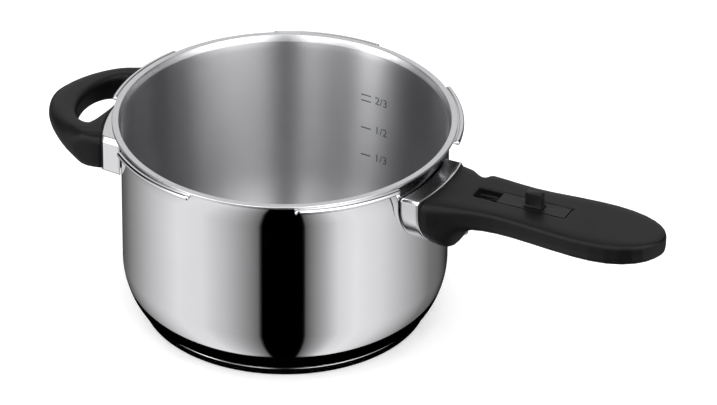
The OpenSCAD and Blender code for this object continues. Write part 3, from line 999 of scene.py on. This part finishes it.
@dataclass
class Studio:
    """Pale floor, soft light all round and the camera."""

    azimuth: float = 25.0
    elevation: float = 31.3
    place: tuple[float, float, float] = (1.2427, -2.5682, 1.7977)
    lens: float = 300.65
    roll: float = 0.35
    floor_reach: float = 40.0
    card_reach: float = 0.094

    def build_camera(self) -> None:
        """Sets the camera on its stand."""
        a, e = math.radians(self.azimuth), math.radians(self.elevation)
        back = Vector((math.sin(a) * math.cos(e), -math.cos(a) * math.cos(e), math.sin(e)))
        right = Vector((math.cos(a), math.sin(a), 0))
        up = back.cross(right)
        turn = Matrix((right, up, back)).transposed() @ Matrix.Rotation(math.radians(self.roll), 3, "Z")
        data = bpy.data.cameras.new("camera")
        data.lens = self.lens
        data.sensor_width = 36
        data.clip_end = 200
        camera = bpy.data.objects.new("camera", data)
        bpy.context.scene.collection.objects.link(camera)
        camera.matrix_world = Matrix.Translation(self.place) @ turn.to_4x4()
        bpy.context.scene.camera = camera

    def build_floor(self) -> None:
        """Lays a pale matt floor that gloss doesn't see."""
        mesh = bpy.data.meshes.new("floor")
        s = self.floor_reach
        mesh.from_pydata([(-s, -s, 0), (s, -s, 0), (s, s, 0), (-s, s, 0)], [], [(0, 1, 2, 3)])
        floor = new_object("floor", mesh)
        material = bpy.data.materials.new("paper_pale")
        material.use_nodes = True
        surface = material.node_tree.nodes["Principled BSDF"]
        surface.inputs["Base Color"].default_value = linear("#F5F5F5")
        surface.inputs["Roughness"].default_value = 0.9
        surface.inputs["Specular IOR Level"].default_value = 0.1
        surface.inputs["Emission Color"].default_value = linear("#FFFFFF")
        surface.inputs["Emission Strength"].default_value = 0.3
        mesh.materials.append(material)
        floor.visible_glossy = False
        floor.visible_diffuse = False
        self.build_shade_card()

    def build_shade_card(self) -> None:
        """Lays a black card under the pot that only gloss sees: painted shade under the pot, which its mirror
        shows as a dark foot.
        """
        bm = bmesh.new()
        bmesh.ops.create_circle(bm, cap_ends=True, segments=96, radius=self.card_reach)
        bmesh.ops.translate(bm, verts=bm.verts, vec=(0, 0, -0.0005))
        mesh = bpy.data.meshes.new("card")
        bm.to_mesh(mesh)
        bm.free()
        card = new_object("card", mesh)
        material = bpy.data.materials.new("card_black")
        material.use_nodes = True
        surface = material.node_tree.nodes["Principled BSDF"]
        # painted shade: a near-black sheet under the pot that only reflections see
        surface.inputs["Base Color"].default_value = linear("#020202")
        surface.inputs["Specular IOR Level"].default_value = 0.0
        mesh.materials.append(material)
        card.visible_camera = False
        card.visible_diffuse = False
        card.visible_shadow = False

    def build_world(self) -> None:
        """Makes soft white light, with long upright light panels for gloss to show."""
        world = bpy.data.worlds.new("studio")
        bpy.context.scene.world = world
        world.use_nodes = True
        tree = world.node_tree
        tree.nodes.clear()
        out = add(tree, "ShaderNodeOutputWorld")
        way = add(tree, "ShaderNodeTexCoord").outputs["Generated"]
        turn = add(
            tree,
            "ShaderNodeVectorRotate",
            {"Vector": way, "Angle": math.radians(90 - self.azimuth)},
            rotation_type="Z_AXIS",
        )
        xyz = add(tree, "ShaderNodeSeparateXYZ", {"Vector": turn.outputs[0]})
        round_ = add(tree, "ShaderNodeMath", {0: xyz.outputs["Y"], 1: xyz.outputs["X"]}, operation="ARCTAN2")
        share = add(
            tree,
            "ShaderNodeMapRange",
            {"Value": round_.outputs[0], "From Min": -math.pi, "From Max": math.pi},
        )
        low = self.ramp(tree, share.outputs["Result"], LOW_PANELS)
        high = self.ramp(tree, share.outputs["Result"], HIGH_PANELS)
        dip = add(
            tree,
            "ShaderNodeMapRange",
            {"Value": xyz.outputs["Z"], "From Min": -0.955, "From Max": -0.93},
        )
        low_cut = add(
            tree,
            "ShaderNodeVectorMath",
            {0: low, "Scale": dip.outputs["Result"]},
            operation="SCALE",
        )
        side = add(
            tree,
            "ShaderNodeMapRange",
            {"Value": xyz.outputs["Z"], "From Min": -0.02, "From Max": 0.06},
        )
        both = add(tree, "ShaderNodeMix", {"Factor": side.outputs["Result"]}, data_type="RGBA")
        tree.links.new(low_cut.outputs[0], both.inputs[6])
        front = add(
            tree,
            "ShaderNodeMapRange",
            {
                "Value": xyz.outputs["X"],
                "From Min": -0.25,
                "From Max": 0.1,
                "To Min": 1.0,
                "To Max": FRONT_LIFT,
            },
        )
        high_lift = add(
            tree,
            "ShaderNodeVectorMath",
            {0: high, "Scale": front.outputs["Result"]},
            operation="SCALE",
        )
        tree.links.new(high_lift.outputs[0], both.inputs[7])
        gloss = add(tree, "ShaderNodeBackground", {"Color": both.outputs[2], "Strength": GLOSS_LIGHT})
        back = add(tree, "ShaderNodeBackground", {"Color": linear("#FFFFFF"), "Strength": 1.0})
        sky = add(
            tree,
            "ShaderNodeMapRange",
            {"Value": xyz.outputs["Z"], "From Min": -0.1, "From Max": 0.75, "To Min": 0.25, "To Max": 1.4},
        )
        strength = sky.outputs["Result"]
        soft = add(tree, "ShaderNodeBackground", {"Color": linear("#FFFFFF"), "Strength": strength})
        ray = add(tree, "ShaderNodeLightPath")
        matt = add(
            tree,
            "ShaderNodeMixShader",
            {0: ray.outputs["Is Diffuse Ray"], 1: back.outputs[0], 2: soft.outputs[0]},
        )
        mix = add(
            tree,
            "ShaderNodeMixShader",
            {0: ray.outputs["Is Glossy Ray"], 1: matt.outputs[0], 2: gloss.outputs[0]},
        )
        # every ray kind finds its own light, so the world isn't sampled as a lamp
        world.cycles.sampling_method = "NONE"
        tree.links.new(mix.outputs[0], out.inputs["Surface"])

    def ramp(
        self, tree: bpy.types.NodeTree, share: bpy.types.NodeSocket, stops: Iterable[tuple[float, float]]
    ) -> bpy.types.NodeSocket:
        """Adds a ramp of light round the horizon.

        Args:
            tree: The world's node tree.
            share: Place round the horizon, from 0 to 1.
            stops: Angle from the front in degrees, and how bright it looks there from 0 to 1.

        Returns:
            The ramp's colour.
        """
        node = add(tree, "ShaderNodeValToRGB", {"Fac": share})
        elements = node.color_ramp.elements
        listed = list(stops)
        while len(elements) < len(listed):
            elements.new(0.5)
        for element, (degrees, tone) in zip(elements, listed):
            element.position = (degrees + 180) / 360
            level = tone**2.2
            element.color = (level, level, level, 1)
        return node.outputs["Color"]

    def build(self) -> None:
        """Sets up the whole studio."""
        self.build_camera()
        self.build_floor()
        self.build_world()
        bpy.context.scene.view_settings.view_transform = "Standard"


# how strong the panels are for reflections
GLOSS_LIGHT = 1.25
# light panels below the horizon: angle from the front in degrees, tone on the screen
LOW_PANELS = (
    (-180, 0.15),
    (-150, 0.40),
    (-128, 0.60),
    (-106, 0.77),
    (-81, 0.91),
    (-60, 0.89),
    (-42, 0.75),
    (-24, 0.53),
    (-17.5, 0.40),
    (-16.5, 0.0),
    (14, 0.0),
    (15, 0.34),
    (28, 0.66),
    (39, 0.87),
    (52, 0.93),
    (72, 0.87),
    (94, 0.72),
    (124, 0.46),
    (140, 0.40),
    (160, 0.20),
    (180, 0.15),
)
# light panels above the horizon, in the same way
HIGH_PANELS = (
    (-180, 0.82),
    (-152, 0.80),
    (-140, 0.10),
    (-126, 0.02),
    (-113, 0.05),
    (-101, 0.14),
    (-91, 0.32),
    (-81, 0.40),
    (-73, 0.60),
    (-65, 0.94),
    (-56, 0.92),
    (-50, 0.48),
    (-42, 0.42),
    (-34, 0.54),
    (-21, 0.70),
    (-14, 0.72),
    (-8, 0.34),
    (-3, 0.14),
    (5, 0.14),
    (12, 0.56),
    (20, 0.72),
    (35, 0.80),
    (45, 0.80),
    (60, 0.62),
    (72, 0.38),
    (91, 0.26),
    (103, 0.13),
    (116, 0.05),
    (140, 0.10),
    (152, 0.80),
    (180, 0.82),
)
# how much stronger the light over the front is, which only the inside of the pot shows
FRONT_LIFT = 4.7


def main() -> None:
    """Builds the pot's looks piece by piece."""
    logging.basicConfig(level=logging.INFO, format="%(name)s: %(message)s")
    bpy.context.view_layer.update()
    finishes = Finishes()
    Vessel(finishes).build()
    BaseCap(finishes).build()
    Hardware(finishes).build()
    Studio().build()


if __name__ == "__main__":
    main()
